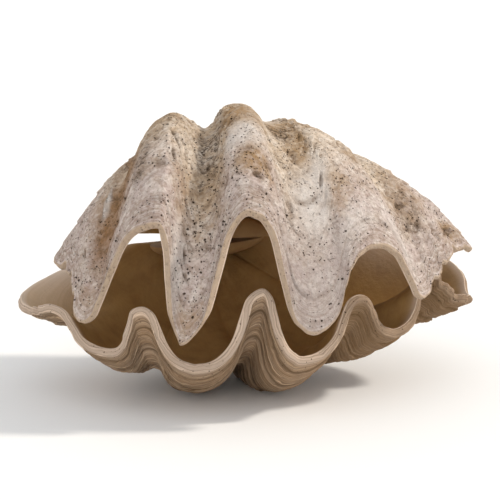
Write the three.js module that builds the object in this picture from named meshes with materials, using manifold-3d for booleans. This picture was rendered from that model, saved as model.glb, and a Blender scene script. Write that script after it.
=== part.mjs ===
// Giant clam shell: two thick fluted valves, one lying loose on the other and gaping at the front.
// Millimetres, +Z up, hinge at the back, mouth towards -Y, standing on worn flats at Z = 0.
import * as THREE from 'three';
import { mergeVertices } from 'three/addons/utils/BufferGeometryUtils.js';
import Module from 'manifold-3d';

const { clamp, degToRad, lerp, smoothstep } = THREE.MathUtils;

// How finely a valve is drawn: columns in each half fold, and rows from the beak (0) to the rim (1).
// Outside, a pair of close rows makes each growth ledge.
const COLUMNS = 6;
const LEDGES = [0.5, 0.64, 0.77, 0.88, 0.955];
const LEDGE_RUN = 0.008;
const PLAIN_ROWS = [0.1, 0.18, 0.26, 0.34, 0.42, 0.57, 0.71, 0.83, 1];
const INNER_ROWS = [0.34, 0.42, 0.5, 0.58, 0.66, 0.74, 0.81, 0.87, 0.92, 0.96, 1];

// The wall is thin at the rim and at the back edges, and thick in the middle.
const BODY_WALL = 16;
const BACK_WALL = 8;

// Each ridge or groove is [bearing in degrees from the front, height of the rim outwards, reach from the
// hinge, roundness]. A reach of 1 lies on the outline, an ellipse in plan, and the roundness is the share of
// the way to the next ridge or groove that is curved. The turn is how far the valve curls, in radians.
// Older growth may differ: sway leads the numbered ridges and grooves sideways on their way to the beak,
// and full makes the older ridges broader and their grooves narrower.
const LOWER = {
  outline: { x: 16, y: -135, a: 300, b: 196 },
  folds: [
    [-90, 28, 0.91, 0.25], [-72.5, 25, 1.02, 0.6], [-53, 10, 0.935, 0.15], [-39, 50, 0.94, 0.46],
    [-29, -24, 1.02, 0.15], [-17.5, 60, 0.97, 0.6], [-3.5, -38, 0.96, 0.15], [6, 56, 1, 0.6],
    [20, -12, 0.97, 0.15], [34.3, 57, 0.955, 0.55], [46, -4, 0.94, 0.25], [55, 48, 1.07, 0.5],
    [90, 8, 1, 0.25],
  ],
  steep: 68,
  turn: 2.1,
  shrink: 0.49,
  sway: {},
  full: 0,
  rim: 8,
  ledge: 3.5,
  lump: 1.5,
};
const UPPER = {
  outline: { x: 14, y: -146, a: 276, b: 198 },
  folds: [
    [-90, 8, 1, 0.25], [-70.5, 6, 0.9, 0.45], [-51.5, -6, 0.97, 0.5], [-41, -59, 1.03, 0.15],
    [-25, 73, 0.98, 0.42], [-19, -68, 1.02, 0.3], [-5.5, 90, 0.93, 0.37], [8, -55, 1, 0.3],
    [24.5, 44, 0.93, 0.41], [38.6, -30, 0.97, 0.14], [52.7, 17, 0.995, 0.38], [62.6, 14, 1.085, 0.46],
    [90, 8, 1, 0.25],
  ],
  steep: 67,
  turn: 2.72,
  shrink: 0.6,
  sway: { 5: 65, 6: 60, 7: 30 },
  full: 0.3,
  rim: 7,
  ledge: 2,
  lump: 2.5,
};

// The hinge plate is half an ellipsoid with its flat side near the parting plane.
const HINGE = { x: 0, y: -12, long: 85, deep: 24, high: 26, clear: 0.4 };

// The upper valve gapes, and sits a little askew on the lower one.
const GAPE = 7.1;
const SKEW = -5.5;
const ROLL = 4.1;
const SHIFT = [22, -3.9, 5.2];

// The pair leans forward and a little to its left, on lower ridges that are worn flat where they stand.
const LEAN = 9;
const LIST = -3.6;
const WORN = 6;

const wasm = await Module();
wasm.setup();

// Half a fold, from a ridge or groove to the next, as shares of the way across and of the height:
// an arc, a straight flank and another arc.
function halfFold(steep, roundFrom, roundTo) {
  const fine = 40;
  const across = [0];
  const height = [0];
  for (let i = 0; i < fine * COLUMNS; i += 1) {
    const t = (i + 0.5) / (fine * COLUMNS);
    const slope = degToRad(steep) * Math.min(1, t / roundFrom, (1 - t) / roundTo);
    across.push(across[i] + Math.cos(slope));
    height.push(height[i] + Math.sin(slope));
  }
  const share = (list, k) => list[fine * k] / list.at(-1);
  return Array.from({ length: COLUMNS + 1 }, (_, k) => [share(across, k), share(height, k)]);
}

// How far the outline lies from the hinge along a bearing.
function outlineReach({ x, y, a, b }, bearing) {
  const dx = Math.sin(bearing);
  const dy = -Math.cos(bearing);
  const p = (dx / a) ** 2 + (dy / b) ** 2;
  const q = (dx * x) / a ** 2 + (dy * y) / b ** 2;
  const r = (x / a) ** 2 + (y / b) ** 2 - 1;
  return (q + Math.sqrt(q * q - p * r)) / p;
}

// The columns of a valve: the rim to the side (x) and forwards (f), its outward height (h) and its sway.
function rimColumns({ outline, folds, steep, sway }) {
  const last = folds.length - 2;
  const columns = [];
  for (let i = 0; i <= last; i += 1) {
    const [from, to] = [folds[i], folds[i + 1]];
    const half = halfFold(steep, from[3], to[3]);
    const count = i === last ? COLUMNS + 1 : COLUMNS;
    for (let k = 0; k < count; k += 1) {
      const even = k / COLUMNS;
      const ease = smoothstep(even, 0, 1);
      const [across, height] = i === 0 || i === last ? [even, ease] : half[k];
      const bearing = degToRad(lerp(from[0], to[0], across));
      const reach = lerp(from[2], to[2], ease) * outlineReach(outline, bearing);
      const h = lerp(from[1], to[1], height);
      const aside = lerp(sway[i] ?? 0, sway[i + 1] ?? 0, ease);
      columns.push({ x: reach * Math.sin(bearing), f: reach * Math.cos(bearing), h, sway: aside });
    }
  }
  return addGrooves(columns, folds);
}

// The height of the line through numbered ridges or grooves, level beyond the first and the last.
function lineThrough(stations, at) {
  const after = stations.findIndex(([k]) => k >= at);
  const right = after < 0 ? stations.length - 1 : Math.max(1, after);
  const [from, to] = [stations[right - 1], stations[right]];
  return lerp(from[1], to[1], clamp((at - from[0]) / (to[0] - from[0]), 0, 1));
}

// Beside each column, the heights of the grooves and of the ridges on either side of it.
function addGrooves(columns, folds) {
  const last = folds.length - 1;
  const isGroove = ([k, h]) => k === 0 || k === last || (h < folds[k - 1][1] && h < folds[k + 1][1]);
  const stations = folds.map((fold, k) => [k, fold[1]]);
  const grooves = stations.filter(isGroove);
  const ridges = stations.filter((station) => !isGroove(station));
  columns.forEach((column, j) => {
    column.low = Math.min(column.h, lineThrough(grooves, j / COLUMNS));
    column.high = Math.max(column.h, lineThrough(ridges, j / COLUMNS));
  });
  return columns;
}

// A point of the growth spiral: the rim shrunk by s and turned about the hinge line.
// The fold share fades the ridges into their grooves.
function spiralPoint(valve, column, s, fold) {
  const { x, f, h, low, high, sway } = column;
  const share = (h - low) / Math.max(high - low, 1e-6);
  const broad = share ** (1 - valve.full * smoothstep(1 - s, 0, 0.35));
  const height = lerp(low, high, broad * fold) * s ** valve.shrink;
  const angle = valve.turn * (1 - s);
  const y = height * Math.sin(angle) - f * Math.cos(angle);
  const z = f * Math.sin(angle) + height * Math.cos(angle);
  return new THREE.Vector3(x + sway * (1 - s), y, z).multiplyScalar(s);
}

function spiralNormal(valve, columns, j, s, foldAt) {
  const step = 0.004;
  const at = (k, t) => spiralPoint(valve, columns[clamp(k, 0, columns.length - 1)], t, foldAt(t));
  const along = at(j, s + step).sub(at(j, s - step));
  const across = at(j + 1, s).sub(at(j - 1, s));
  return along.cross(across).normalize();
}

// Outside, growth stops stand out as ledges, and worn lumps lie between them.
const foldOutside = () => 1;
function relief(valve, j, s) {
  const starts = [0.36, ...LEDGES];
  const band = starts.findLastIndex((start) => s > start);
  const rise = band < 0 ? 0 : (s - starts[band]) / ((starts[band + 1] ?? 1) - starts[band]);
  const lump = Math.sin(0.9 * j + 9 * s) * Math.sin(0.37 * j - 23 * s) + Math.sin(0.21 * j + 15 * s);
  return (valve.ledge * (clamp(rise, 0, 1) - 0.5) + 0.5 * valve.lump * lump) * smoothstep(s, 0.1, 0.5);
}

// Inside, the folds fill in and the wall thickens towards the hinge.
const foldInside = (s) => smoothstep(s, 0.35, 1.05);
function wallAt(rim, j, last, s) {
  const inwards = Math.min(1, j / COLUMNS, (last - j) / COLUMNS);
  const middle = lerp(BACK_WALL, BODY_WALL, inwards);
  return lerp(rim, middle, smoothstep(1 - s, 0, 0.5));
}

const OUTER_ROWS = [...PLAIN_ROWS, ...LEDGES, ...LEDGES.map((s) => s + LEDGE_RUN)].sort((a, b) => a - b);

// One closed loop through the wall at a column: up the outside to the rim, then back along the inside.
function wallLoop(valve, columns, j) {
  const column = columns[j];
  const outside = OUTER_ROWS.map((s) => {
    const normal = spiralNormal(valve, columns, j, s, foldOutside);
    return spiralPoint(valve, column, s, 1).addScaledVector(normal, relief(valve, j, s));
  });
  const inside = INNER_ROWS.map((s) => {
    const normal = spiralNormal(valve, columns, j, s, foldInside);
    const wall = wallAt(valve.rim, j, columns.length - 1, s);
    return spiralPoint(valve, column, s, foldInside(s)).addScaledVector(normal, -wall);
  });
  return [...outside, ...inside.reverse()];
}

// A solid through a row of closed loops, with both end loops closed from outside to inside.
function solidThrough(loops) {
  const size = loops[0].length;
  const index = [];
  for (let j = 0; j + 1 < loops.length; j += 1) {
    for (let k = 0; k < size; k += 1) {
      const [a, b] = [j * size + k, j * size + ((k + 1) % size)];
      index.push(a, b, a + size, b, b + size, a + size);
    }
  }
  const end = (loops.length - 1) * size;
  let outer = OUTER_ROWS.length - 1;
  let inner = OUTER_ROWS.length;
  while (outer > 0 || inner < size - 1) {
    const outerLeft = outer / (OUTER_ROWS.length - 1);
    const innerLeft = (size - 1 - inner) / (INNER_ROWS.length - 1);
    const far = innerLeft > outerLeft ? inner + 1 : outer - 1;
    index.push(inner, outer, far, end + outer, end + inner, end + far);
    if (far > inner) inner = far;
    else outer = far;
  }
  const geometry = new THREE.BufferGeometry().setFromPoints(loops.flat());
  geometry.setIndex(index);
  return geometry;
}

function toManifold(geometry) {
  geometry.deleteAttribute('normal');
  geometry.deleteAttribute('uv');
  const merged = mergeVertices(geometry, 1e-4);
  return new wasm.Manifold(new wasm.Mesh({
    numProp: 3,
    vertProperties: new Float32Array(merged.attributes.position.array),
    triVerts: new Uint32Array(merged.index.array),
  }));
}

function toMesh(solid, name, color) {
  const { vertProperties, triVerts } = solid.getMesh();
  const geometry = new THREE.BufferGeometry();
  geometry.setAttribute('position', new THREE.BufferAttribute(vertProperties, 3));
  geometry.setIndex(new THREE.BufferAttribute(triVerts, 1));
  const faceted = geometry.toNonIndexed();
  faceted.computeVertexNormals();
  const material = new THREE.MeshStandardMaterial({ color, roughness: 0.8, metalness: 0 });
  const mesh = new THREE.Mesh(faceted, material);
  mesh.name = name;
  return mesh;
}

// The far side of the parting plane along the hinge.
const acrossHinge = toManifold(new THREE.BoxGeometry(700, 120, 100).translate(0, 15, HINGE.clear - 50));

// A valve in its own frame, with the parting plane at Z = 0 and the outside upwards.
function valveSolid(valve) {
  const columns = rimColumns(valve);
  const wall = toManifold(solidThrough(columns.map((_, j) => wallLoop(valve, columns, j))));
  const plate = new THREE.SphereGeometry(1, 16, 8)
    .scale(HINGE.long, HINGE.deep, HINGE.high)
    .translate(HINGE.x, HINGE.y, 0);
  return wall.add(toManifold(plate)).subtract(acrossHinge);
}

const turned = (x, y, z) => new THREE.Matrix4().makeRotationFromEuler(
  new THREE.Euler(degToRad(x), degToRad(y), degToRad(z), 'ZYX'),
);
const moved = (solid, matrix) => solid.transform(matrix.toArray());

const lean = turned(LEAN, LIST, 0);
const gape = turned(-GAPE, ROLL, SKEW).setPosition(...SHIFT);
const lower = moved(valveSolid(LOWER).mirror([0, 0, 1]), lean);

// Where the hinges meet, the upper one is worn down to the parting plane of the lower one.
const upper = moved(moved(valveSolid(UPPER), gape).subtract(acrossHinge), lean);

// The origin is on the ground, under the middle of the pair.
const low = lower.boundingBox();
const high = upper.boundingBox();
const middle = (k) => (Math.min(low.min[k], high.min[k]) + Math.max(low.max[k], high.max[k])) / 2;
const lift = new THREE.Matrix4().makeTranslation(-middle(0), -middle(1), -low.min[2] - WORN);
const ground = new THREE.BoxGeometry(2000, 2000, 200).translate(0, 0, -100);

const shell = new THREE.Group();
shell.name = 'giant_clam_shell';
shell.add(toMesh(moved(lower, lift).subtract(toManifold(ground)), 'lower_valve', 0xb08a66));
shell.add(toMesh(moved(upper, lift), 'upper_valve', 0xd8cdbf));
export default shell;
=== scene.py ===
# %% [markdown]
# # A giant clam shell, from growth formulas
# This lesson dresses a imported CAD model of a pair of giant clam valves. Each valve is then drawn
# again as one fine surface, because a shell is the record of its own growth: the same rim, smaller
# and turned a little further, again and again. A formula gives that directly, where sculpting would
# only imitate it.

import math

import bpy
import numpy as np
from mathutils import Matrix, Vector


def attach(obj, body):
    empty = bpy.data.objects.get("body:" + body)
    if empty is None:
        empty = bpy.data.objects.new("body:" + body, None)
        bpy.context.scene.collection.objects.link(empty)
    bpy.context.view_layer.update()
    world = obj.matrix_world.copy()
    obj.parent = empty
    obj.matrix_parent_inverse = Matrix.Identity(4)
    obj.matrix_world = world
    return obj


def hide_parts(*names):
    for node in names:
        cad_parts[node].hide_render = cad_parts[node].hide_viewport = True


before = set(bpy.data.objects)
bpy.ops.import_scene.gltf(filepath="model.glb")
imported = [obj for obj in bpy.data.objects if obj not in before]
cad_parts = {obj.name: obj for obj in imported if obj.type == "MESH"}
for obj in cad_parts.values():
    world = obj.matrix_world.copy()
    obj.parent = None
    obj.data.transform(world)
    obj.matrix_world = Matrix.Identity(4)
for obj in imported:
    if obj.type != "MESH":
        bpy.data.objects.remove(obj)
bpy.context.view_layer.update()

# %% [markdown]
# ## How the two valves are folded
# A valve is described by the stations along its rim, from the left end of the hinge to the right end.
# Each station is a ridge or a groove: its bearing from the hinge in degrees, how far the rim stands outwards
# there, how far it reaches compared with the plan outline, an ellipse, and how much of the way to the next
# station is rounded. In older growth, sway leads the numbered stations sideways and full makes the ridges
# broader. All lengths are in millimetres here, and are turned into metres when the mesh is made.

# %% Stations of the folds
LOWER = dict(
    outline=(16, -135, 300, 196), steep=68, turn=2.1, shrink=0.49, rim=8, ledge=3.5,
    sway={}, full=0.0,
    folds=[(-90, 28, 0.91, 0.25), (-72.5, 25, 1.02, 0.6), (-53, 10, 0.935, 0.15), (-39, 50, 0.94, 0.46),
           (-29, -24, 1.02, 0.15), (-17.5, 60, 0.97, 0.6), (-3.5, -38, 0.96, 0.15), (6, 56, 1, 0.6),
           (20, -12, 0.97, 0.15), (34.3, 57, 0.955, 0.55), (46, -4, 0.94, 0.25), (55, 48, 1.07, 0.5),
           (90, 8, 1, 0.25)])
UPPER = dict(
    outline=(14, -146, 276, 198), steep=67, turn=2.72, shrink=0.6, rim=7, ledge=2.0,
    sway={5: 65, 6: 60, 7: 30}, full=0.3,
    folds=[(-90, 8, 1, 0.25), (-70.5, 6, 0.9, 0.45), (-51.5, -6, 0.97, 0.5), (-41, -59, 1.03, 0.15),
           (-25, 73, 0.98, 0.42), (-19, -68, 1.02, 0.3), (-5.5, 90, 0.93, 0.37), (8, -55, 1, 0.3),
           (24.5, 44, 0.93, 0.41), (38.6, -30, 0.97, 0.14), (52.7, 17, 0.995, 0.38), (62.6, 14, 1.085, 0.46),
           (90, 8, 1, 0.25)])
LAST = len(LOWER["folds"]) - 1
PER_HALF_FOLD = 36
COLUMNS = np.linspace(0, LAST, LAST * PER_HALF_FOLD + 1)
print("stations:", len(LOWER["folds"]), "columns:", len(COLUMNS))

# %% [markdown]
# ## The curve of one fold
# A sine wave makes soft corrugations, but the folds of a giant clam have steep straight flanks and round
# tops. So half a fold is drawn by its slope: it grows evenly along an arc, stays steep along the flank, and
# dies away along another arc. Adding up the cosine and the sine of that slope gives the way across and up.

# %% Rim of a valve
def ease(t):
    """A smooth step from 0 to 1: three t squared less two t cubed."""
    t = np.clip(t, 0, 1)
    return t * t * (3 - 2 * t)


def half_folds(valve, u):
    """Sums up a slope: steep times the least of 1, t / round and (1 - t) / next round."""
    stations = np.array(valve["folds"], float)
    i = np.minimum(u.astype(int), len(stations) - 2)
    fine = 240
    t = (np.arange(fine) + 0.5) / fine
    arcs = np.minimum(t / stations[:-1, 3:], (1 - t) / stations[1:, 3:])
    slope = np.radians(valve["steep"]) * np.minimum(arcs, 1)
    across = np.cumsum(np.pad(np.cos(slope), ((0, 0), (1, 0))), axis=1)
    height = np.cumsum(np.pad(np.sin(slope), ((0, 0), (1, 0))), axis=1)
    across, height = across / across[:, -1:], height / height[:, -1:]
    even = np.linspace(0, 1, fine + 1)
    across[[0, -1]], height[[0, -1]] = even, ease(even)
    k = np.minimum(((u - i) * fine).astype(int), fine - 1)
    part = (u - i) * fine - k
    return i, [c[i, k] * (1 - part) + c[i, k + 1] * part for c in (across, height)]


def rim_columns(valve, u):
    """The rim at station numbers u: sideways, forwards, height, height of grooves and of ridges, sway."""
    stations = np.array(valve["folds"], float)
    i, (across, up) = half_folds(valve, u)
    t = u - i
    a, b = stations[i], stations[i + 1]
    bearing = np.radians(a[:, 0] + (b[:, 0] - a[:, 0]) * across)
    height = a[:, 1] + (b[:, 1] - a[:, 1]) * up
    share = a[:, 2] + (b[:, 2] - a[:, 2]) * ease(t)
    x, y, long, deep = valve["outline"]
    dx, dy = np.sin(bearing), -np.cos(bearing)
    p = (dx / long) ** 2 + (dy / deep) ** 2
    q = dx * x / long ** 2 + dy * y / deep ** 2
    r = (x / long) ** 2 + (y / deep) ** 2 - 1
    reach = share * (q + np.sqrt(q * q - p * r)) / p
    h = stations[:, 1]
    low = np.append(True, np.append((h[1:-1] < h[:-2]) & (h[1:-1] < h[2:]), True))
    groove = np.minimum(height, np.interp(u, np.where(low)[0], h[low]))
    crest = np.maximum(height, np.interp(u, np.where(~low)[0], h[~low]))
    sway = np.array([valve["sway"].get(k, 0) for k in range(len(stations))], float)
    return reach * dx, -reach * dy, height, groove, crest, sway[i] + (sway[i + 1] - sway[i]) * ease(t)


print("upper rim heights:", np.round(rim_columns(UPPER, COLUMNS)[2][::PER_HALF_FOLD]).tolist())

# %% [markdown]
# ## The growth spiral
# Every older rim is the present one shrunk by a share s and turned about the hinge line. That single rule
# gives the dome, the curl of the beak and the way the folds narrow towards it. The grid is whole arrays,
# rows from the beak to the rim and columns along the rim, so numpy works out all its points at once.

# %% Growth spiral and its normals
FULL_AFTER = 0.35


def spiral(valve, columns, s, fold):
    """Rim times s, turned by turn (1 - s) about the hinge, swayed and broadened; fold fades the ridges."""
    x, f, h, low, crest, sway = columns
    share = (h - low) / np.maximum(crest - low, 1e-6)
    h = low + (crest - low) * share ** (1 - valve["full"] * ease((1 - s) / FULL_AFTER))
    h = (low + (h - low) * fold) * s ** valve["shrink"]
    x = x + sway * (1 - s)
    angle = valve["turn"] * (1 - s)
    y = h * np.sin(angle) - f * np.cos(angle)
    z = f * np.sin(angle) + h * np.cos(angle)
    return np.stack([s * x, s * y, s * z], -1)


def normals(grid):
    """Outward normals: the cross product of the steps along the rows and along the columns."""
    n = np.cross(np.gradient(grid, axis=0), np.gradient(grid, axis=1))
    return n / np.maximum(np.linalg.norm(n, axis=-1, keepdims=True), 1e-9)


BEAK, INNER_END = 0.1, 0.34
OUTER = 1 - (1 - BEAK) * (1 - np.linspace(0, 1, 170)) ** 1.4
INNER = np.linspace(INNER_END, 1, 26)
print("rows outside and inside:", len(OUTER), len(INNER))

# %% [markdown]
# ## Roughness made of numbers
# A weathered shell is never smooth. The bumps come from value noise: random numbers on a lattice, blended
# smoothly between its corners. It is worked out in the shell's own space, so it doesn't stretch with the
# grid.

# %% Value noise
HASH_X, HASH_Y, HASH_Z, HASH_SEED = 73856093, 19349663, 83492791, 2654435761
HASH_MIX, HASH_MASK, HASH_HALF = 1274126177, 0xFFFFFF, 0x7FFFFF


def rough(points, size, seed):
    """Random values from -1 to 1 at lattice corners size mm apart, blended with a smooth step."""
    q = points / size + 17.3 * seed
    cell = np.floor(q).astype(np.int64)
    t = q - cell
    t = t * t * (3 - 2 * t)
    total = np.zeros(points.shape[:-1])
    for corner in np.ndindex(2, 2, 2):
        k = cell + np.array(corner)
        h = (k[..., 0] * HASH_X) ^ (k[..., 1] * HASH_Y) ^ (k[..., 2] * HASH_Z) ^ (seed * HASH_SEED)
        h = ((h ^ (h >> 13)) * HASH_MIX) & HASH_MASK
        weight = np.prod(np.where(np.array(corner) == 1, t, 1 - t), axis=-1)
        total += weight * (h / HASH_HALF - 1)
    return total


print("noise sample:", np.round(rough(np.array([[0.0, 0, 0], [9, 4, 7]]), 10, 3), 3).tolist())

# %% [markdown]
# ## Relief of the outside
# Growth stops leave ledges that run parallel to the rim. On the lower valve they are crisp and crowded, on
# the upper one sun, rain and boring animals have worn them to lumps, hollows and broken edges. A sawtooth
# along the distance from the rim makes a ledge: it rises slowly towards the rim and then drops to the
# younger layer below it. Single cracks and a barnacle scar are soft ovals in the shell's own map, placed by
# a station number u along the rim and a growth share s.

# %% Ledges and spots
LEDGES = np.array([0.36, 0.5, 0.64, 0.77, 0.88, 0.955, 1.0])


def from_rim(grid):
    """Distance in mm from the rim along the shell, summed up row by row."""
    step = np.linalg.norm(np.diff(grid, axis=0), axis=-1)
    return np.append(np.cumsum(step[::-1], axis=0)[::-1], np.zeros((1, grid.shape[1])), axis=0)


def teeth(x, drop=0.15):
    """A sawtooth that rises from 0 to 1 and falls back within the share drop."""
    t = x - np.floor(x)
    return np.where(t < 1 - drop, t / (1 - drop), (1 - t) / drop)


def main_ledges(s):
    """How far each row has risen between one main ledge and the next."""
    band = np.clip(np.searchsorted(LEDGES, s) - 1, 0, len(LEDGES) - 2)
    rise = np.clip((s - LEDGES[band]) / (LEDGES[band + 1] - LEDGES[band]), 0, 1)
    return ((rise - 0.5) * ease((s - 0.1) / 0.4))[:, None]


def ovals(u, s, spots):
    """The strongest of several soft ovals (u, s, width, height, strength) at every point of the grid."""
    total = np.zeros((len(s), len(u)))
    for at_u, at_s, wide, high, strength in spots:
        d = ((u[None] - at_u) / wide) ** 2 + ((s[:, None] - at_s) / high) ** 2
        total = np.maximum(total, strength * np.exp(-d * d))
    return total


print("ledge rows:", LEDGES.tolist())

# %% Chips, cracks and scars
LOWER_CHIPS = [(1.42, 0.05, 0.012), (1.58, 0.04, 0.010), (2.4, 0.08, 0.004), (4.7, 0.1, 0.004),
               (8.9, 0.1, 0.004), (10.35, 0.05, 0.006), (10.62, 0.06, 0.010), (10.85, 0.05, 0.008),
               (11.1, 0.1, 0.010)]
UPPER_CHIPS = [(2.05, 0.06, 0.014), (2.3, 0.05, 0.010), (2.62, 0.07, 0.008), (4.82, 0.11, 0.004),
               (5.2, 0.12, 0.004), (9.27, 0.1, 0.008), (9.62, 0.06, 0.007), (10.05, 0.09, 0.012),
               (10.6, 0.08, 0.008)]
CRACKS = [(4.26, 0.794, 0.14, 0.011, 1.0), (4.2, 0.798, 0.06, 0.006, 0.7), (4.25, 0.844, 0.07, 0.012, 1.0),
          (6.08, 0.934, 0.07, 0.006, 1.0), (7.4, 0.822, 0.1, 0.007, 0.8), (5.1, 0.746, 0.16, 0.008, 0.8),
          (4.84, 0.924, 0.1, 0.006, 0.7), (4.19, 0.868, 0.12, 0.006, 0.6), (5.72, 0.774, 0.14, 0.008, 0.7),
          (8.29, 0.804, 0.2, 0.008, 0.7), (2.51, 0.93, 0.12, 0.006, 0.6), (9.38, 0.9, 0.12, 0.008, 0.8),
          (10.3, 0.95, 0.2, 0.008, 1.0), (10.1, 0.964, 0.12, 0.006, 1.0), (9.75, 0.94, 0.06, 0.02, 0.9)]
SCAR = [(4.79, 0.906, 0.07, 0.02, 1.0), (4.95, 0.956, 0.06, 0.014, 0.7), (2.14, 0.962, 0.3, 0.012, 1.0)]
SCAR_EYE = [(4.79, 0.906, 0.03, 0.009, 1.0), (4.95, 0.956, 0.025, 0.006, 0.7)]


def chipped(u, chips, seed):
    """How much of the growth share s is broken off at the rim: soft notches, and a fine ripple all along."""
    line = np.stack([u * 120, 0 * u, 0 * u], -1)
    loss = 0.0022 * (1 + rough(line, 9, seed)) + 0.003 * ease(rough(line, 26, seed + 1) * 2)
    for at, wide, deep in chips:
        loss = loss + deep * np.exp(-((u - at) / wide) ** 4)
    return loss


print("chips:", len(LOWER_CHIPS) + len(UPPER_CHIPS), "cracks:", len(CRACKS))

# %% Relief of both valves
def lower_relief(grid, s, u):
    """Main ledges, three sizes of growth steps, and low lumps."""
    away = from_rim(grid) + 5 * rough(grid, 60, 1) + 1.5 * rough(grid, 14, 2)
    fine = ease((s - 0.3) / 0.3)[:, None]
    uneven = 0.6 + 0.4 * rough(grid, 30, 11)
    steps = 2.2 * uneven * (teeth(-away / 17) - 0.5) + 0.9 * (teeth(-away / 7.5, 0.3) - 0.5)
    ledges = LOWER["ledge"] * main_ledges(s)
    return ledges + fine * steps + 0.9 * rough(grid, 35, 3) + 0.35 * rough(grid, 9, 12)


def upper_relief(grid, s, u):
    """Soft ledges, lumps of three sizes that grow with age, hollows, broken ledges, cracks and scars."""
    away = from_rim(grid)
    wavy = away + 8 * rough(grid, 60, 4) + 3 * rough(grid, 15, 5)
    old = np.maximum(ease((away - 30) / 130), 0.85 * ease((u - 8.2) / 0.8)[None] * ease(away / 40))
    lumps = 1.6 * rough(grid, 45, 6) + (0.4 + 0.9 * old) * rough(grid, 19, 7)
    lumps = lumps + (0.2 + 0.6 * old) * rough(grid, 8.5, 8)
    eaten = (0.5 + 2.6 * old) * ease((rough(grid, 19, 9) - 0.42) / 0.25)
    patchy = ease((rough(grid, 38, 10) + 0.2) / 0.5)
    broken = 2.6 * old * patchy * (teeth(-wavy / 24, 0.1) - 0.5)
    fine = 0.7 * np.exp(-away / 40) * (teeth(-wavy / 6.5, 0.3) - 0.5)
    spots = -5 * ovals(u, s, CRACKS) + 3 * ovals(u, s, SCAR) - 3.5 * ovals(u, s, SCAR_EYE)
    return UPPER["ledge"] * main_ledges(s) + lumps * ease(away / 18 + 0.3) - eaten + broken + fine + spots


def hollows(height, reach=3):
    """1 where the relief lies well below the mean around it, and 0 on a bump; the finishes darken these
    hollows.
    """
    mean = height
    for _ in range(reach):
        wide = np.pad(mean, 2, mode="edge")
        mean = sum(wide[2 + k:-2 + k or None, 2:-2] for k in (-2, -1, 0, 1, 2)) / 5
        wide = np.pad(mean, 2, mode="edge")
        mean = sum(wide[2:-2, 2 + k:-2 + k or None] for k in (-2, -1, 0, 1, 2)) / 5
    return ease((mean - height - 0.15) / 1.6)


print("hollow test:", np.round(hollows(np.eye(9) * -2)[4, 4], 2))

# %% [markdown]
# ## From the growth frame to the ground
# In its own frame a valve has its parting plane level and its outside upwards. The lower valve is that shape
# upside down. The upper valve is opened, twisted a little and set on the lower one, and then the pair leans
# forward on its lowest ridges, which are worn flat at the ground.

# %% Placing the valves
def turn_matrix(x, y, z):
    """Turn about X, then Y, then Z, in degrees."""
    (cx, cy, cz), (sx, sy, sz) = np.cos(np.radians([x, y, z])), np.sin(np.radians([x, y, z]))
    about_x = np.array([[1, 0, 0], [0, cx, -sx], [0, sx, cx]])
    about_y = np.array([[cy, 0, sy], [0, 1, 0], [-sy, 0, cy]])
    about_z = np.array([[cz, -sz, 0], [sz, cz, 0], [0, 0, 1]])
    return about_z @ about_y @ about_x


LEAN = turn_matrix(9, -3.6, 0)
GAPE = turn_matrix(-7.1, 4.1, -5.5)
SHIFT = np.array([22, -3.9, 5.2])
LIFT = np.array([-26.51, 155.19, 179.51])
HINGE_FRONT, HINGE_CLEAR = -45, 0.4


def off_hinge(points):
    """Along the hinge, nothing passes the parting plane."""
    out = points.copy()
    out[..., 2] = np.where(out[..., 1] > HINGE_FRONT, np.maximum(out[..., 2], HINGE_CLEAR), out[..., 2])
    return out


def place_lower(points):
    """Upside down, leaning, and worn flat at the ground."""
    out = (off_hinge(points) * [1, 1, -1]) @ LEAN.T + LIFT
    out[..., 2] = np.maximum(out[..., 2], 0)
    return out


def place_upper(points):
    """Gaping, worn to the lower hinge, and leaning with the lower valve."""
    return off_hinge(off_hinge(points) @ GAPE.T + SHIFT) @ LEAN.T + LIFT


print("lean of the pair:", np.round(LEAN, 3).tolist())

# %% [markdown]
# ## A wall with a rounded rim
# Each column of the finished valve is one closed loop: up the outside to the rim, round the rim, and back
# along the inside. The inside follows the folds near the rim and fills them in towards the hinge, as the
# real animal does. Skinning loop to loop makes one watertight wall, with no Solidify modifier to tear at
# the steep flanks.

# %% Loops through the wall
RIM_ROWS, RIM_STEP, RIM_BULGE = 6, 1.8, 2.0
BACK_WALL, BODY_WALL = 8, 16


def inside_fold(s):
    """The inside keeps the whole fold at the rim and loses it towards the hinge."""
    return ease((s - 0.35) / 0.7)


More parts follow.
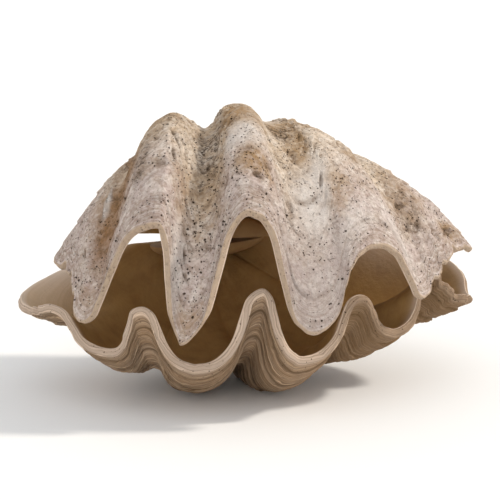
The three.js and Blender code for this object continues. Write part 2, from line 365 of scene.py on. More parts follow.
def wall_grid(valve, relief, chips):
    """Rows of the outside, the rim and the inside, their distance from the rim, and how deep in a hollow
    each lies.
    """
    columns = rim_columns(valve, COLUMNS)
    loss = chipped(COLUMNS, chips, 31)[None]
    outside = spiral(valve, columns, OUTER[:, None] - loss * ease((OUTER - 0.9) / 0.1)[:, None], 1.0)
    away = from_rim(outside)
    height = relief(outside, OUTER, COLUMNS)
    outside = outside + normals(outside) * height[..., None]
    inner = INNER[:, None] - loss * ease((INNER - 0.9) / 0.1)[:, None]
    inside = spiral(valve, columns, inner, inside_fold(inner))
    edge = np.clip(np.minimum(COLUMNS, LAST - COLUMNS), 0, 1)
    middle = BACK_WALL + (BODY_WALL - BACK_WALL) * edge[None]
    wall = valve["rim"] + (middle - valve["rim"]) * ease((1 - INNER) / 0.5)[:, None]
    inside = inside - normals(inside) * wall[..., None]
    turn = np.linspace(0, np.pi, RIM_ROWS + 2)[1:-1, None, None]
    centre, half = (outside[-1] + inside[-1]) / 2, (outside[-1] - inside[-1]) / 2
    ahead = outside[-1] - outside[-6]
    ahead = ahead / np.linalg.norm(ahead, axis=-1, keepdims=True)
    rim = centre + half * np.cos(turn) + RIM_BULGE * ahead * np.sin(turn)
    rim = rim + ahead * np.sin(turn) * (0.7 * rough(rim, 7, 33) + 0.7 * rough(rim, 16, 34))[..., None]
    grid = np.concatenate([outside, rim, inside[::-1]])
    clean = np.zeros((len(grid) - len(OUTER), len(COLUMNS)))
    over = np.repeat(-RIM_STEP * np.arange(1, RIM_ROWS + 1)[:, None], len(COLUMNS), axis=1)
    away = np.concatenate([away, over, from_rim(inside)[::-1]])
    return grid, away, np.concatenate([hollows(height), clean])


print("rows in a loop:", len(OUTER) + RIM_ROWS + len(INNER))

# %% [markdown]
# ## Skinning the loops
# The faces join each column to the next, and the loop closes on itself at the beak. The two end loops lie
# along the hinge, and are closed with a strip of triangles between outside and inside. The index arrays are
# worked out for the whole grid at once.

# %% Mesh of a valve
def loop_faces(rows, columns, flip):
    """Quads between neighbouring columns, and strips that close the first and the last loop."""
    k, j = np.meshgrid(np.arange(rows), np.arange(columns - 1), indexing="ij")
    below = (k + 1) % rows
    here, there = k * columns + j, below * columns + j
    quads = np.stack([here, there, there + 1, here + 1], -1).reshape(-1, 4)
    outer = np.arange(len(OUTER))
    partner = rows - 1 - np.round(outer * (rows - len(OUTER) - 1) / (len(OUTER) - 1)).astype(int)
    fan = np.stack([outer[:-1], partner[:-1], outer[1:]], -1)
    step = partner[1:] != partner[:-1]
    gap = np.stack([outer[1:][step], partner[:-1][step], partner[1:][step]], -1)
    first = np.concatenate([fan, gap]) * columns
    last = first[:, ::-1] + columns - 1
    triangles = np.concatenate([first, last])
    if flip:
        quads, triangles = quads[:, ::-1], triangles[:, ::-1]
    return quads, triangles


def make_piece(name, points, quads, triangles, marks, finishes, finish_of):
    """Puts arrays of points in mm and of faces into a mesh in metres, with float marks on its points."""
    mesh = bpy.data.meshes.new(name)
    faces = [tuple(f) for f in quads.tolist()] + [tuple(f) for f in triangles.tolist()]
    mesh.from_pydata((points.reshape(-1, 3) / 1000).tolist(), [], faces)
    for mark, values in marks.items():
        layer = mesh.attributes.new(mark, "FLOAT", "POINT")
        layer.data.foreach_set("value", np.ascontiguousarray(values, np.float32).ravel())
    for finish in finishes:
        mesh.materials.append(finish)
    mesh.polygons.foreach_set("material_index", np.asarray(finish_of, np.int32))
    mesh.polygons.foreach_set("use_smooth", np.ones(len(faces), bool))
    mesh.update()
    piece = bpy.data.objects.new(name, mesh)
    bpy.context.collection.objects.link(piece)
    print(name, len(mesh.vertices), "points,", len(faces), "faces")
    return piece


# %% [markdown]
# ## Finishes, from small effects
# The finishes share four effects, so each is a node group that is built once: growth lines that follow the
# rim, pits left by boring sponges, soft mottling and hairline cracks. A small helper adds a node, sets its
# sockets and links it, which keeps the cells short.

# %% Node helper
def add(tree, kind, inputs=None, **settings):
    """Adds a node; inputs maps socket names or numbers to constants or to sockets to link."""
    node = tree.nodes.new(kind)
    for key, value in settings.items():
        setattr(node, key, value)
    for key, value in (inputs or {}).items():
        socket = node.inputs[key]
        if isinstance(value, bpy.types.NodeSocket):
            tree.links.new(value, socket)
        else:
            socket.default_value = value
    return node


def new_group(name, inputs, outputs):
    """A shader node group with named sockets."""
    tree = bpy.data.node_groups.new(name, "ShaderNodeTree")
    for label, kind in inputs:
        tree.interface.new_socket(label, in_out="INPUT", socket_type=kind)
    for label, kind in outputs:
        tree.interface.new_socket(label, in_out="OUTPUT", socket_type=kind)
    return tree, tree.nodes.new("NodeGroupInput"), tree.nodes.new("NodeGroupOutput")


def maths(tree, operation, a, b):
    """One step of arithmetic, as a socket."""
    return add(tree, "ShaderNodeMath", {0: a, 1: b}, operation=operation).outputs[0]


def times(tree, a, b):
    """a times b, as a socket."""
    return maths(tree, "MULTIPLY", a, b)


def rest_of(tree, a):
    """1 less a, as a socket."""
    return maths(tree, "SUBTRACT", 1.0, a)


def ramp(tree, value, low, high, to_low=0.0, to_high=1.0):
    """A smooth step of a value between low and high."""
    ends = {"Value": value, "From Min": low, "From Max": high, "To Min": to_low, "To Max": to_high}
    return add(tree, "ShaderNodeMapRange", ends, interpolation_type="SMOOTHSTEP").outputs["Result"]


def tint(tree, factor, under, over):
    """Mixes two colours by a factor; sockets 0, 6 and 7 of the node are the factor and the colours."""
    return add(tree, "ShaderNodeMix", {0: factor, 6: under, 7: over}, data_type="RGBA").outputs[2]


def pushed(tree, place, colour, metres):
    """A place moved by a colour, taken as a direction, times a length in metres."""
    by = add(tree, "ShaderNodeVectorMath", {0: colour, 1: (metres, metres, metres)}, operation="MULTIPLY")
    return add(tree, "ShaderNodeVectorMath", {0: place, 1: by.outputs[0]}, operation="ADD").outputs[0]


# %% Growth lines
FLOAT, VECTOR = "NodeSocketFloat", "NodeSocketVector"
growth_lines, given, out = new_group(
    "growth_lines", [("Place", VECTOR), ("Away", FLOAT), ("Spacing", FLOAT), ("Wander", FLOAT)],
    [("Line", FLOAT), ("Height", FLOAT)])
wander = add(growth_lines, "ShaderNodeTexNoise",
             {"Vector": given.outputs["Place"], "Scale": 22.0, "Detail": 3.0})
swing = maths(growth_lines, "SUBTRACT", wander.outputs["Fac"], 0.5)
moved = times(growth_lines, swing, given.outputs["Wander"])
along = maths(growth_lines, "ADD", given.outputs["Away"], moved)
along = maths(growth_lines, "DIVIDE", along, given.outputs["Spacing"])
bands = add(growth_lines, "ShaderNodeTexNoise", {"W": along, "Scale": 1.0, "Detail": 2.5, "Roughness": 0.65},
            noise_dimensions="1D")
growth_lines.links.new(ramp(growth_lines, bands.outputs["Fac"], 0.38, 0.62), out.inputs["Line"])
growth_lines.links.new(bands.outputs["Fac"], out.inputs["Height"])
print("group:", growth_lines.name)

# %% Pits of boring sponges
pits, given, out = new_group(
    "pits", [("Place", VECTOR), ("Spacing", FLOAT), ("Share", FLOAT), ("Width", FLOAT)], [("Pit", FLOAT)])
per_metre = maths(pits, "DIVIDE", 1000.0, given.outputs["Spacing"])
uneven = add(pits, "ShaderNodeTexNoise", {"Vector": given.outputs["Place"], "Scale": 320.0, "Detail": 1.0})
place = pushed(pits, given.outputs["Place"], uneven.outputs["Color"], 0.0022)
cells = add(pits, "ShaderNodeTexVoronoi", {"Vector": place, "Scale": per_metre, "Randomness": 1.0})
chance = add(pits, "ShaderNodeSeparateColor", {0: cells.outputs["Color"]})
kept = maths(pits, "LESS_THAN", chance.outputs[0], given.outputs["Share"])
spread = maths(pits, "ADD", times(pits, chance.outputs[1], 0.8), 0.45)
radius = times(pits, spread, given.outputs["Width"])
hole = maths(pits, "DIVIDE", cells.outputs["Distance"], radius)
pits.links.new(times(pits, kept, ramp(pits, hole, 0.55, 1.0, 1.0, 0.0)), out.inputs["Pit"])
print("group:", pits.name)

# %% Mottling
mottle, given, out = new_group(
    "mottle", [("Place", VECTOR), ("Size", FLOAT), ("Low", FLOAT), ("High", FLOAT)], [("Value", FLOAT)])
per_metre = maths(mottle, "DIVIDE", 1000.0, given.outputs["Size"])
cloud = add(mottle, "ShaderNodeTexNoise", {"Vector": given.outputs["Place"], "Scale": per_metre,
                                           "Detail": 5.0, "Roughness": 0.62})
value = ramp(mottle, cloud.outputs["Fac"], given.outputs["Low"], given.outputs["High"])
mottle.links.new(value, out.inputs["Value"])
print("group:", mottle.name)

# %% Hairline cracks
hairlines, given, out = new_group(
    "hairlines", [("Place", VECTOR), ("Spacing", FLOAT), ("Width", FLOAT)], [("Crack", FLOAT)])
per_metre = maths(hairlines, "DIVIDE", 1000.0, given.outputs["Spacing"])
bent = add(hairlines, "ShaderNodeTexNoise", {"Vector": given.outputs["Place"], "Scale": 90.0, "Detail": 4.0})
place = pushed(hairlines, given.outputs["Place"], bent.outputs["Color"], 0.012)
net = add(hairlines, "ShaderNodeTexVoronoi", {"Vector": place, "Scale": per_metre},
          feature="DISTANCE_TO_EDGE")
thin_line = maths(hairlines, "DIVIDE", net.outputs["Distance"], given.outputs["Width"])
hairlines.links.new(ramp(hairlines, thin_line, 0.3, 1.0, 1.0, 0.0), out.inputs["Crack"])
print("group:", hairlines.name)

# %% [markdown]
# ## Chalky outside of the upper valve
# Years in the open have bleached this valve to cream and pinkish grey, with brown stains where plants and
# soil lay on it, soot-dark algae in the hollows and thousands of tiny black pits. Where the stains lie is
# marked on the points of the mesh, and the nodes break the edges of each mark up.

# %% Chalky finish
def start_finish(name, roughness, specular):
    """A material with its Principled shader, its object coordinates and a reader for the mesh's marks."""
    finish = bpy.data.materials.new(name)
    finish.use_nodes = True
    tree = finish.node_tree
    shader = tree.nodes["Principled BSDF"]
    shader.inputs["Roughness"].default_value = roughness
    shader.inputs["Specular IOR Level"].default_value = specular
    place = tree.nodes.new("ShaderNodeTexCoord").outputs["Object"]

    def mark(label):
        """A mark of the mesh, as a socket."""
        return add(tree, "ShaderNodeAttribute", attribute_name=label).outputs["Fac"]

    def use(group, output, **values):
        """One output of an effect at this place, as a socket."""
        return add(tree, "ShaderNodeGroup", {"Place": place, **values}, node_tree=group).outputs[output]

    return finish, tree, shader, mark, use


def raise_bumps(tree, shader, heights, distance):
    """Adds up heights times their depths and feeds them to the normal."""
    total = None
    for height, depth in heights:
        term = times(tree, height, depth)
        total = term if total is None else maths(tree, "ADD", total, term)
    bump = add(tree, "ShaderNodeBump", {"Height": total, "Strength": 1.0, "Distance": distance})
    tree.links.new(bump.outputs["Normal"], shader.inputs["Normal"])


CREAM, BEIGE, PALE = (0.74, 0.625, 0.51, 1), (0.56, 0.425, 0.295, 1), (0.84, 0.77, 0.70, 1)
PINK_GREY, MAUVE, EDGE = (0.52, 0.415, 0.38, 1), (0.60, 0.505, 0.465, 1), (0.47, 0.35, 0.245, 1)
TAN, RUST, EARTH = (0.34, 0.215, 0.11, 1), (0.25, 0.13, 0.055, 1), (0.14, 0.085, 0.048, 1)
SHADE_GREY, CHALK, UMBER = (0.36, 0.305, 0.285, 1), (0.74, 0.69, 0.65, 1), (0.25, 0.17, 0.115, 1)
SOOT, BLACK = (0.07, 0.045, 0.028, 1), (0.03, 0.016, 0.007, 1)
MILLIMETRE = 0.001

chalky, tree, shader, mark, use = start_finish("chalky_shell", 0.9, 0.1)
away = mark("away")
aged = ramp(tree, away, 60.0, 200.0)
cloudy = use(mottle, "Value", Size=60.0, Low=0.36, High=0.64)
colour = tint(tree, aged, tint(tree, cloudy, PINK_GREY, MAUVE), tint(tree, cloudy, BEIGE, CREAM))
flaky = use(mottle, "Value", Size=12.0, Low=0.42, High=0.66)
colour = tint(tree, times(tree, flaky, 0.5), colour, PALE)
blotchy = use(mottle, "Value", Size=30.0, Low=0.5, High=0.7)
colour = tint(tree, times(tree, blotchy, ramp(tree, away, 20.0, 160.0, 0.25, 0.65)), colour, TAN)
lines = use(growth_lines, "Line", Away=away, Spacing=3.4, Wander=20.0)
line_height = use(growth_lines, "Height", Away=away, Spacing=3.4, Wander=20.0)
near_rim = ramp(tree, away, 15.0, 60.0, 0.55, 0.08)
colour = tint(tree, times(tree, rest_of(tree, lines), near_rim), colour, UMBER)
fine = use(mottle, "Value", Size=5.0, Low=0.34, High=0.6)
colour = tint(tree, times(tree, rest_of(tree, fine), 0.5), colour, UMBER)
print("ground colours of:", chalky.name)

# %% Stains of the chalky finish
def patchy(strength, low, high):
    """A mark broken up by a mottle: mark times (low + high times mottle)."""
    return times(tree, strength, maths(tree, "ADD", times(tree, ragged, high), low))


ragged = use(mottle, "Value", Size=9.0, Low=0.38, High=0.6)
# painted shade: a dull grey over the folds that lie in shade
colour = tint(tree, times(tree, mark("dull"), 0.5), colour, SHADE_GREY)
colour = tint(tree, patchy(mark("tan"), 0.45, 0.5), colour, TAN)
colour = tint(tree, patchy(mark("rust"), 0.75, 0.2), colour, RUST)
colour = tint(tree, patchy(mark("chalk"), 0.5, 0.4), colour, CHALK)
# darker in the hollows of the relief
colour = tint(tree, patchy(mark("dirt"), 0.2, 0.5), colour, EARTH)
speckled = use(mottle, "Value", Size=5.5, Low=0.46, High=0.58)
colour = tint(tree, times(tree, patchy(mark("rust"), 0.0, 0.6), speckled), colour, EARTH)
sooty = maths(tree, "ADD", times(tree, speckled, 0.7), 0.3)
colour = tint(tree, times(tree, patchy(mark("soot"), 0.6, 0.4), sooty), colour, SOOT)
print("stains of:", chalky.name)

# %% Pits, cracks and rim of the chalky finish
cracked = use(mottle, "Value", Size=22.0, Low=0.56, High=0.66)
split = times(tree, use(hairlines, "Crack", Spacing=24.0, Width=0.028), cracked)
flecks = use(mottle, "Value", Size=4.5, Low=0.64, High=0.70)
clustered = use(mottle, "Value", Size=42.0, Low=0.40, High=0.62)
tufted = use(mottle, "Value", Size=13.0, Low=0.4, High=0.6)
crowded = maths(tree, "ADD", times(tree, times(tree, clustered, tufted), 0.9), 0.12)
crowded = times(tree, crowded, rest_of(tree, mark("sound")))
crowded = maths(tree, "ADD", crowded, times(tree, patchy(mark("bored"), 0.3, 0.7), 0.4))
small = use(pits, "Pit", Spacing=3.2, Share=crowded, Width=0.35)
large = use(pits, "Pit", Spacing=6.0, Share=times(tree, crowded, 1.3), Width=0.27)
edge = ramp(tree, away, 0.0, 4.0, 1.0, 0.0)
worn = times(tree, edge, maths(tree, "ADD", times(tree, fine, 0.3), 0.6))
colour = tint(tree, worn, colour, EDGE)
holed = maths(tree, "MAXIMUM", maths(tree, "MAXIMUM", small, large), times(tree, flecks, 0.7))
holed = maths(tree, "MAXIMUM", holed, times(tree, split, 0.5))
holed = times(tree, holed, rest_of(tree, times(tree, edge, 0.6)))
colour = tint(tree, times(tree, holed, 0.92), colour, BLACK)
tree.links.new(colour, shader.inputs["Base Color"])
heights = [(holed, -1.8), (line_height, 0.8), (fine, 0.5), (ragged, 0.7), (flaky, 0.3)]
raise_bumps(tree, shader, heights, MILLIMETRE)
print("finish:", chalky.name)

# %% [markdown]
# ## Growth-lined outside of the lower valve
# The lower valve lay on the ground, out of the sun, so its growth lines are still sharp: thin tan and brown
# bands that run parallel to the rim, with a paler pinkish edge where the youngest shell is.

# %% Lined finish
lined, tree, shader, mark, use = start_finish("lined_shell", 0.85, 0.15)
away = mark("away")
BAND_TAN, BAND_BROWN, YOUNG = (0.70, 0.50, 0.33, 1), (0.43, 0.275, 0.155, 1), (0.76, 0.61, 0.50, 1)
DEEP_LINE, HAIR_LINE, CLOUD = (0.13, 0.078, 0.043, 1), (0.21, 0.14, 0.09, 1), (0.40, 0.30, 0.22, 1)
HOLLOW_BROWN, RIGHT_SHADE_BROWN = (0.10, 0.058, 0.03, 1), (0.20, 0.115, 0.05, 1)
wide = use(growth_lines, "Line", Away=away, Spacing=11.0, Wander=16.0)
thin = use(growth_lines, "Line", Away=away, Spacing=3.0, Wander=16.0)
colour = tint(tree, wide, BAND_BROWN, BAND_TAN)
colour = tint(tree, times(tree, rest_of(tree, thin), 0.5), colour, DEEP_LINE)
cloudy = use(mottle, "Value", Size=40.0, Low=0.45, High=0.7)
colour = tint(tree, times(tree, cloudy, 0.45), colour, CLOUD)
colour = tint(tree, times(tree, ramp(tree, away, -4.0, 14.0, 1.0, 0.0), 0.7), colour, YOUNG)
hair = use(growth_lines, "Line", Away=away, Spacing=1.9, Wander=12.0)
colour = tint(tree, times(tree, rest_of(tree, hair), 0.5), colour, HAIR_LINE)
# darker brown in the hollows of the relief
colour = tint(tree, times(tree, mark("dirt"), 0.75), colour, HOLLOW_BROWN)
# painted shade: the right part of the lower valve, under the upper valve, is darkened towards a dark brown
colour = tint(tree, times(tree, mark("soil"), 0.62), colour, RIGHT_SHADE_BROWN)
near_rim = ramp(tree, away, 14.0, 45.0, 1.0, 0.15)
dots = times(tree, use(pits, "Pit", Spacing=3.8, Share=0.3, Width=0.27), near_rim)
colour = tint(tree, times(tree, dots, 0.85), colour, BLACK)
tree.links.new(colour, shader.inputs["Base Color"])
height = use(growth_lines, "Height", Away=away, Spacing=3.0, Wander=16.0)
grain = use(mottle, "Value", Size=5.0, Low=0.3, High=0.7)
raise_bumps(tree, shader, [(dots, -1.0), (height, 1.6), (hair, 0.5), (grain, 0.5)], MILLIMETRE)
print("finish:", lined.name)

# %% [markdown]
# ## Smooth inside
# Inside, the shell is smooth. Its warm brown, darker in patches, is painted shade, and it is cream near the
# ends and the rim, where it is lit.

# %% Inside finish
smooth_inside, tree, shader, mark, use = start_finish("smooth_inside", 0.55, 0.3)
away = mark("away")
INSIDE_SHADE_BROWN, INSIDE_SHADE_AND_LINES = (0.48, 0.295, 0.115, 1), (0.30, 0.165, 0.055, 1)
INSIDE_CREAM = (0.70, 0.565, 0.46, 1)
# painted shade: the inside is brown, and darker brown in patches, for the shade inside the valve; its growth
# lines use the darker brown too
shade_patches = use(mottle, "Value", Size=30.0, Low=0.4, High=0.72)
colour = tint(tree, times(tree, shade_patches, 0.55), INSIDE_SHADE_BROWN, INSIDE_SHADE_AND_LINES)
# painted light: cream where the inside is lit
colour = tint(tree, mark("aired"), colour, INSIDE_CREAM)
lines = use(growth_lines, "Line", Away=away, Spacing=9.0, Wander=20.0)
colour = tint(tree, times(tree, rest_of(tree, lines), 0.12), colour, INSIDE_SHADE_AND_LINES)
tree.links.new(colour, shader.inputs["Base Color"])
raise_bumps(tree, shader, [(use(mottle, "Value", Size=6.0, Low=0.3, High=0.7), 0.2)], MILLIMETRE)
print("finish:", smooth_inside.name)

# %% [markdown]
# ## Where the stains lie
# A mark is a number on every point of the mesh. Each stain is one of the soft ovals in the shell's own map,
# so it stays on the shell from any side. In the same way, some places are marked as sound, with few pits, as
# bored, with many, or as lying in shade, which gets a dull grey as painted shade.

# %% Stain marks
RUST_SPOTS = [(3.1, 0.826, 0.5, 0.1, 1.0), (2.92, 0.632, 0.35, 0.06, 0.9), (3.25, 0.72, 0.2, 0.05, 0.6),
              (2.65, 0.724, 0.4, 0.05, 0.5), (3.25, 0.932, 0.14, 0.03, 0.6)]
TAN_SPOTS = [(6.07, 0.904, 0.27, 0.032, 1.0), (7.24, 0.716, 0.3, 0.06, 1.0), (7.16, 0.65, 0.5, 0.05, 0.9),
             (5.88, 0.74, 0.45, 0.07, 1.0), (4, 0.71, 0.45, 0.05, 0.7), (5.42, 0.852, 0.2, 0.05, 0.4),
             (7.74, 0.88, 0.15, 0.05, 0.6), (8.22, 0.656, 0.6, 0.07, 0.7), (9.48, 0.852, 0.55, 0.06, 0.6),
             (10.3, 0.95, 0.45, 0.03, 0.9), (5.13, 0.796, 0.35, 0.04, 0.5), (2.43, 0.852, 0.3, 0.08, 0.4),
             (4.5, 0.878, 0.3, 0.04, 0.4), (5, 0.975, 0.2, 0.02, 0.5), (3, 0.964, 0.3, 0.02, 0.4)]
SOOT_SPOTS = [(5.3, 0.715, 0.22, 0.045, 1.0), (5.0, 0.74, 0.2, 0.04, 0.8), (5.09, 0.694, 0.3, 0.05, 1.0),
              (3.73, 0.852, 0.1, 0.06, 0.8), (6.99, 0.662, 0.25, 0.035, 1.0), (9.34, 0.862, 0.4, 0.05, 0.6),
              (5.06, 0.77, 0.25, 0.03, 0.7), (10.21, 0.954, 0.2, 0.014, 1.0),
              (6.08, 0.934, 0.07, 0.006, 1.0), (4.25, 0.844, 0.08, 0.013, 1.0),
              (4.26, 0.794, 0.15, 0.012, 1.0), (5.58, 0.606, 0.25, 0.04, 0.6),
              (7.47, 0.898, 0.1, 0.05, 0.4), (4.8, 0.912, 0.06, 0.012, 0.5)]
CHALK_SPOTS = [(2.77, 0.802, 0.14, 0.035, 1.0), (7.27, 0.824, 0.4, 0.06, 0.7), (4.62, 0.944, 0.2, 0.05, 0.6),
               (5.92, 0.836, 0.3, 0.03, 0.7), (7.8, 0.95, 0.3, 0.03, 0.4), (8.59, 0.932, 0.4, 0.05, 0.5)]
STAINS = dict(rust=RUST_SPOTS, tan=TAN_SPOTS, soot=SOOT_SPOTS, chalk=CHALK_SPOTS)
print("stains:", {key: len(spots) for key, spots in STAINS.items()})

# %% Sound and bored places, and painted shade
SOUND_SPOTS = [(6.99, 0.956, 0.75, 0.07, 0.8), (8.5, 0.956, 0.9, 0.05, 0.8), (4, 0.93, 0.4, 0.06, 0.7),
               (7.24, 0.846, 0.3, 0.06, 0.6)]
BORED_SPOTS = [(6.0, 0.89, 0.5, 0.06, 1.0), (5.0, 0.84, 0.5, 0.07, 1.0), (4.9, 0.95, 0.4, 0.04, 0.8),
               (4.1, 0.79, 0.35, 0.05, 1.0), (7.15, 0.68, 0.5, 0.07, 0.8), (2.6, 0.93, 0.5, 0.05, 0.5)]
# painted shade: grey patches on the second groove and its tongue and near the middle ridge, which lie in
# shade
SHADE_SPOTS = [(7.1, 0.96, 0.7, 0.09, 1.0), (7.15, 0.84, 0.35, 0.09, 0.9), (6.0, 0.8, 0.35, 0.07, 0.5)]
STAINS.update(sound=SOUND_SPOTS, dull=SHADE_SPOTS, bored=BORED_SPOTS)
print("marks:", list(STAINS))

# %% [markdown]
# ## Making both valves
# Everything is ready to skin the loops. The marks cover the whole loop: the rim and the inside repeat the
# values of the outside's last row or have their own.

# %% Both valves
OUTER_RIM_ROWS, LIT_LEFT_END, LIT_RIGHT_END = 4, 2.0, 0.9


def finish_index(rows, columns, extra):
    """The outside and most of the rim take the first finish, the inside the second."""
    by_row = (np.arange(rows) >= len(OUTER) + OUTER_RIM_ROWS).astype(int)
    return np.append(np.repeat(by_row, columns - 1), np.zeros(extra, int))


def build_valve(name, valve, relief, chips, place, flip, finishes, marks):
    """Grid, faces, marks and finishes of one valve."""
    grid, away, dirt = wall_grid(valve, relief, chips)
    rows, columns = grid.shape[:2]
    quads, triangles = loop_faces(rows, columns, flip)
    below = ((0, rows - len(OUTER)), (0, 0))
    full = {key: np.pad(value, below, mode="edge") for key, value in marks.items()}
    full["away"], full["dirt"] = away, dirt
    s_rows = np.concatenate([OUTER, np.ones(RIM_ROWS), INNER[::-1]])
    # painted light: the inside turns cream near both ends and along the rim, where it is lit
    ends = np.maximum(ease(1 - COLUMNS / LIT_LEFT_END), ease(1 - (LAST - COLUMNS) / LIT_RIGHT_END))
    ends = ends[None] * ease((s_rows - 0.5) / 0.3)[:, None]
    full["aired"] = np.maximum(ends, 0.85 * ease((s_rows - 0.965) / 0.03)[:, None])
    finish_of = finish_index(rows, columns, len(triangles))
    return make_piece(name, place(grid), quads, triangles, full, finishes, finish_of)


# painted shade: a mask over the right part of the lower valve, which the upper valve shades
lower_marks = dict(soil=np.repeat(ease((COLUMNS - 6.8) / 1.4)[None], len(OUTER), axis=0))
upper_marks = {key: ovals(COLUMNS, OUTER, spots) for key, spots in STAINS.items()}
upper_valve = build_valve("upper_shell", UPPER, upper_relief, UPPER_CHIPS, place_upper, False,
                          [chalky, smooth_inside], upper_marks)
lower_valve = build_valve("lower_shell", LOWER, lower_relief, LOWER_CHIPS, place_lower, True,
                          [lined, smooth_inside], lower_marks)

# %% [markdown]
# ## Hinge plates
# Under the beak each valve has a thick plate where the two halves met. It is half an ellipsoid, flat on the
# parting plane, so a grid of two angles gives it, with every point beyond the plane moved onto it.

# %% Hinge plates
PLATE_Y, PLATE_LONG, PLATE_DEEP, PLATE_HIGH = -12, 85, 24, 26
# the second number is how much painted light the hinge plates take
PLATE_AWAY, PLATE_LIT = 60.0, 0.12


def hinge_plate(name, place, flip):
    """An ellipsoid about the hinge line, cut off at the parting plane."""
    around = np.linspace(0, 2 * np.pi, 64, endpoint=False)
    along = np.linspace(0, np.pi, 41)[1:-1, None]
    x = PLATE_LONG * np.cos(along) + 0 * around
    y = PLATE_Y + PLATE_DEEP * np.sin(along) * np.cos(around)
    z = PLATE_HIGH * np.sin(along) * np.sin(around)
    body = np.stack([x, y, np.maximum(z, HINGE_CLEAR)], -1)
    lumpy = body + 0.8 * np.stack([0 * x, rough(body, 12, 21), 0 * x], -1)
    tips = [[PLATE_LONG, PLATE_Y, HINGE_CLEAR], [-PLATE_LONG, PLATE_Y, HINGE_CLEAR]]
    points = np.concatenate([lumpy.reshape(-1, 3), tips])
    rows, columns = x.shape
    k, j = np.meshgrid(np.arange(rows - 1), np.arange(columns), indexing="ij")
    n = (j + 1) % columns
    here, there = k * columns, (k + 1) * columns
    quads = np.stack([here + j, here + n, there + n, there + j], -1).reshape(-1, 4)
    j, tip, end = np.arange(columns), rows * columns, (rows - 1) * columns
    n = (j + 1) % columns
    first = np.stack([np.full(columns, tip), n, j], -1)
    last = np.stack([np.full(columns, tip + 1), end + j, end + n], -1)
    triangles = np.concatenate([first, last])
    if flip:
        quads, triangles = quads[:, ::-1], triangles[:, ::-1]
    marks = {"away": np.full(len(points), PLATE_AWAY), "aired": np.full(len(points), PLATE_LIT)}
    finish_of = np.zeros(len(quads) + len(triangles), int)
    return make_piece(name, place(points), quads, triangles, marks, [smooth_inside], finish_of)


upper_hinge = hinge_plate("upper_hinge_plate", place_upper, False)
lower_hinge = hinge_plate("lower_hinge_plate", place_lower, True)

# %% [markdown]
# ## Joining the frame
# Each piece rides on the one body of the model and stands for its CAD node, which is then hidden.

# %% Ride on the frame
for piece, node, slot in ((upper_valve, "upper_valve", "chalky_shell"),
                          (upper_hinge, "upper_valve", "chalky_shell"),
                          (lower_valve, "lower_valve", "brown_shell"),
                          (lower_hinge, "lower_valve", "brown_shell")):
    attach(piece, "root")
    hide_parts(node)

# %% [markdown]
# ## Studio and camera
# A pale floor, swept up all round, and a white room keep the eye on the shell and fill its hollows with soft
# light. A warm sun stands on the right, so that each fold throws its shadow to the left, and a wide cool
# light on the left softens those shadows.

# %% Floor
def plain_finish(name, colour, roughness):
    """A finish of one colour, for the studio."""
    finish = bpy.data.materials.new(name)
    finish.use_nodes = True
    shader = finish.node_tree.nodes["Principled BSDF"]
    shader.inputs["Base Color"].default_value = colour
    shader.inputs["Roughness"].default_value = roughness
    return finish


SEGMENTS, FLAT_RADIUS, SWEEP = 64, 8.0, 0.012
turns = np.linspace(0, 2 * np.pi, SEGMENTS, endpoint=False)
radii = np.arange(FLAT_RADIUS, 33, 4)[:, None]
swept = SWEEP * (radii - FLAT_RADIUS) ** 2 + 0 * turns
floor_points = np.stack([radii * np.cos(turns), radii * np.sin(turns), swept], -1).reshape(-1, 3)
ring, k = np.meshgrid(np.arange(len(radii) - 1) * SEGMENTS, np.arange(SEGMENTS), indexing="ij")
after = (k + 1) % SEGMENTS
outwards = ring + SEGMENTS
floor_faces = np.stack([ring + k, outwards + k, outwards + after, ring + after], -1).reshape(-1, 4)
floor_mesh = bpy.data.meshes.new("floor")
floor_mesh.from_pydata(floor_points.tolist(), [], floor_faces.tolist() + [list(range(SEGMENTS))])
floor_mesh.materials.append(plain_finish("pale_floor", (0.9, 0.9, 0.9, 1), 0.9))
floor = bpy.data.objects.new("floor", floor_mesh)
bpy.context.collection.objects.link(floor)
world = bpy.data.worlds.new("white_room")
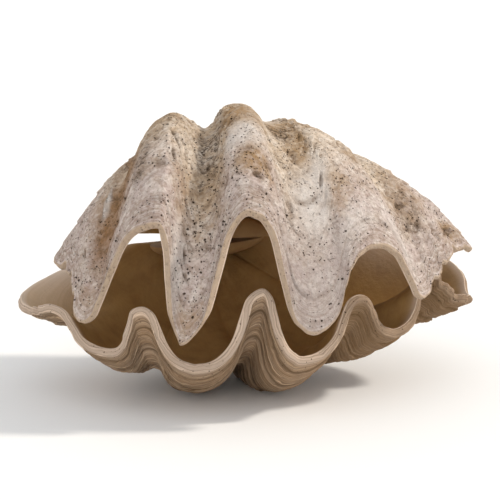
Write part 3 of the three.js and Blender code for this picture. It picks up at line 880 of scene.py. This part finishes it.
world.use_nodes = True
world.node_tree.nodes["Background"].inputs["Color"].default_value = (1, 1, 1, 1)
world.node_tree.nodes["Background"].inputs["Strength"].default_value = 0.68
bpy.context.scene.world = world
print("floor and room ready")

# %% Light
def sun_light(name, azimuth, height, softness, strength, colour):
    """A soft sun: azimuth in degrees from +X towards -Y, height above the floor and softness in degrees."""
    data = bpy.data.lights.new(name, "SUN")
    data.energy = strength
    data.angle = math.radians(softness)
    data.color = colour
    light = bpy.data.objects.new(name, data)
    bpy.context.collection.objects.link(light)
    a, h = math.radians(azimuth), math.radians(height)
    towards = Vector((math.cos(h) * math.cos(a), -math.cos(h) * math.sin(a), math.sin(h)))
    light.rotation_euler = towards.to_track_quat("Z", "Y").to_euler()
    return light


sun_light("warm_sun", 10, 38, 6, 2.2, (1.0, 0.93, 0.83))
sun_light("sky_fill", 125, 40, 80, 0.7, (0.94, 0.97, 1.0))

# %% Camera
FOCAL_PX, PHOTO_PX, SENSOR_MM = 1350.2, 500, 36
AIM_RIGHT_PX, AIM_UP_PX = 13.26, 23.0
camera_data = bpy.data.cameras.new("camera")
camera_data.sensor_width = SENSOR_MM
camera_data.lens = FOCAL_PX / PHOTO_PX * SENSOR_MM
camera = bpy.data.objects.new("camera", camera_data)
bpy.context.collection.objects.link(camera)
camera.location = (-0.5399, -1.681, 0.5102)
azimuth, rise, roll = np.radians([-16.96, 11.35, 0.82])
ahead = Vector((-math.sin(azimuth) * math.cos(rise), math.cos(azimuth) * math.cos(rise), -math.sin(rise)))
right = ahead.cross(Vector((0, 0, 1))).normalized()
aim = ahead + right * (AIM_RIGHT_PX / FOCAL_PX) + right.cross(ahead) * (AIM_UP_PX / FOCAL_PX)
camera.rotation_euler = aim.to_track_quat("-Z", "Y").to_euler()
camera.rotation_euler.rotate_axis("Z", roll)
bpy.context.scene.camera = camera
bpy.context.scene.view_settings.view_transform = "Standard"
print("camera at", [round(c, 3) for c in camera.location])

# %% Update the scene
bpy.context.view_layer.update()
